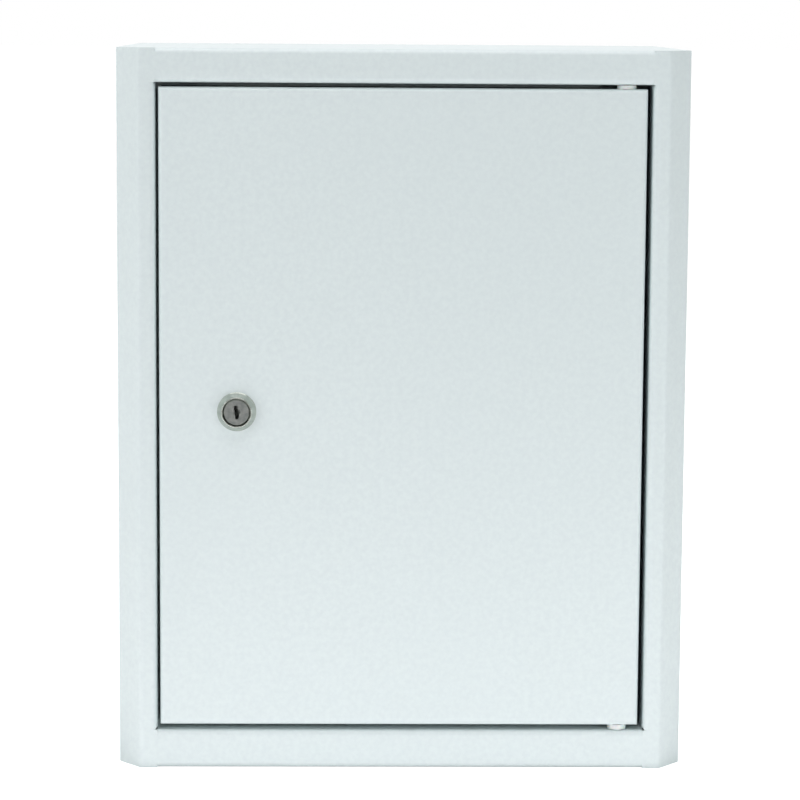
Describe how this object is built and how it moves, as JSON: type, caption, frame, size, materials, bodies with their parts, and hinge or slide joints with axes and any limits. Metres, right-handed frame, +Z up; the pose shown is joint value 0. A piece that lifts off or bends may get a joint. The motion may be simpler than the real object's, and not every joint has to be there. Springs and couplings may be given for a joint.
{
  "type": "steel wall enclosure",
  "caption": "Shallow steel wall cabinet with bevelled front edges, an inset hinged door with a key lock, a mounting plate and a blank gland plate.",
  "frame": {"origin": "centre of the back face, which is the centre of the wall-fixing hole pattern", "axes": "+X to the right seen from the front, +Y towards the wall, +Z up"},
  "size_m": [0.3, 0.2142, 0.38],
  "materials": {
    "cabinet_paint": "fine-textured powder coat, satin",
    "door_paint": "fine-textured powder coat, satin",
    "seal_foam": "closed-cell foam",
    "bush_nylon": "natural nylon",
    "galvanised_sheet": "hot-dip galvanised, light spangle",
    "zinc_plated": "bright zinc plate",
    "lock_chrome": "polished chrome",
    "core_nickel": "dull nickel",
    "spring_steel": "oiled spring steel",
    "copper_stud": "copper-plated steel"
  },
  "bodies": {
    "cabinet": {"cabinet_shell": "cabinet_paint", "top_panel": "cabinet_paint", "bottom_panel": "cabinet_paint", "door_seal": "seal_foam", "lower_hinge_pin": "zinc_plated", "plate_studs": "zinc_plated", "plate_nuts": "zinc_plated", "plate_washers": "zinc_plated", "mounting_plate": "galvanised_sheet", "gland_studs": "zinc_plated", "gland_seal": "seal_foam", "gland_plate": "cabinet_paint", "gland_nuts": "zinc_plated", "cabinet_earth_stud": "copper_stud", "cabinet_earth_washers": "zinc_plated", "cabinet_earth_nuts": "zinc_plated"},
    "door": {"door_panel": "door_paint", "upper_hinge_bush": "bush_nylon", "lower_hinge_bush": "bush_nylon", "hinge_bracket": "zinc_plated", "pin_spring": "spring_steel", "door_earth_stud": "copper_stud", "door_earth_washers": "zinc_plated", "door_earth_nuts": "zinc_plated", "lock_housing": "lock_chrome", "lock_washer": "zinc_plated", "lock_nut": "zinc_plated"},
    "hinge_pin": {"upper_hinge_pin": "zinc_plated", "pin_clip": "spring_steel"},
    "lock_cylinder": {"lock_core": "core_nickel", "stop_washer": "zinc_plated", "lock_cam": "zinc_plated", "cam_washer": "zinc_plated", "cam_bolt": "zinc_plated"}
  },
  "joints": [
    {"name": "door_hinge", "type": "hinge", "parent": "cabinet", "child": "door", "pos_m": [0.1155, -0.2035, 0], "axis": [0, 0, 1], "range_deg": [0, 125]},
    {"name": "hinge_pin_slide", "type": "slide", "parent": "door", "child": "hinge_pin", "axis": [0, 0, -1], "range_m": [0, 0.008], "stiffness_N_per_m": 600, "springref_m": -0.006, "deforming": ["pin_spring"]},
    {"name": "lock_turn", "type": "hinge", "parent": "door", "child": "lock_cylinder", "pos_m": [-0.0868, -0.21, 0.001], "axis": [0, 1, 0], "range_deg": [0, 90]}
  ]
}
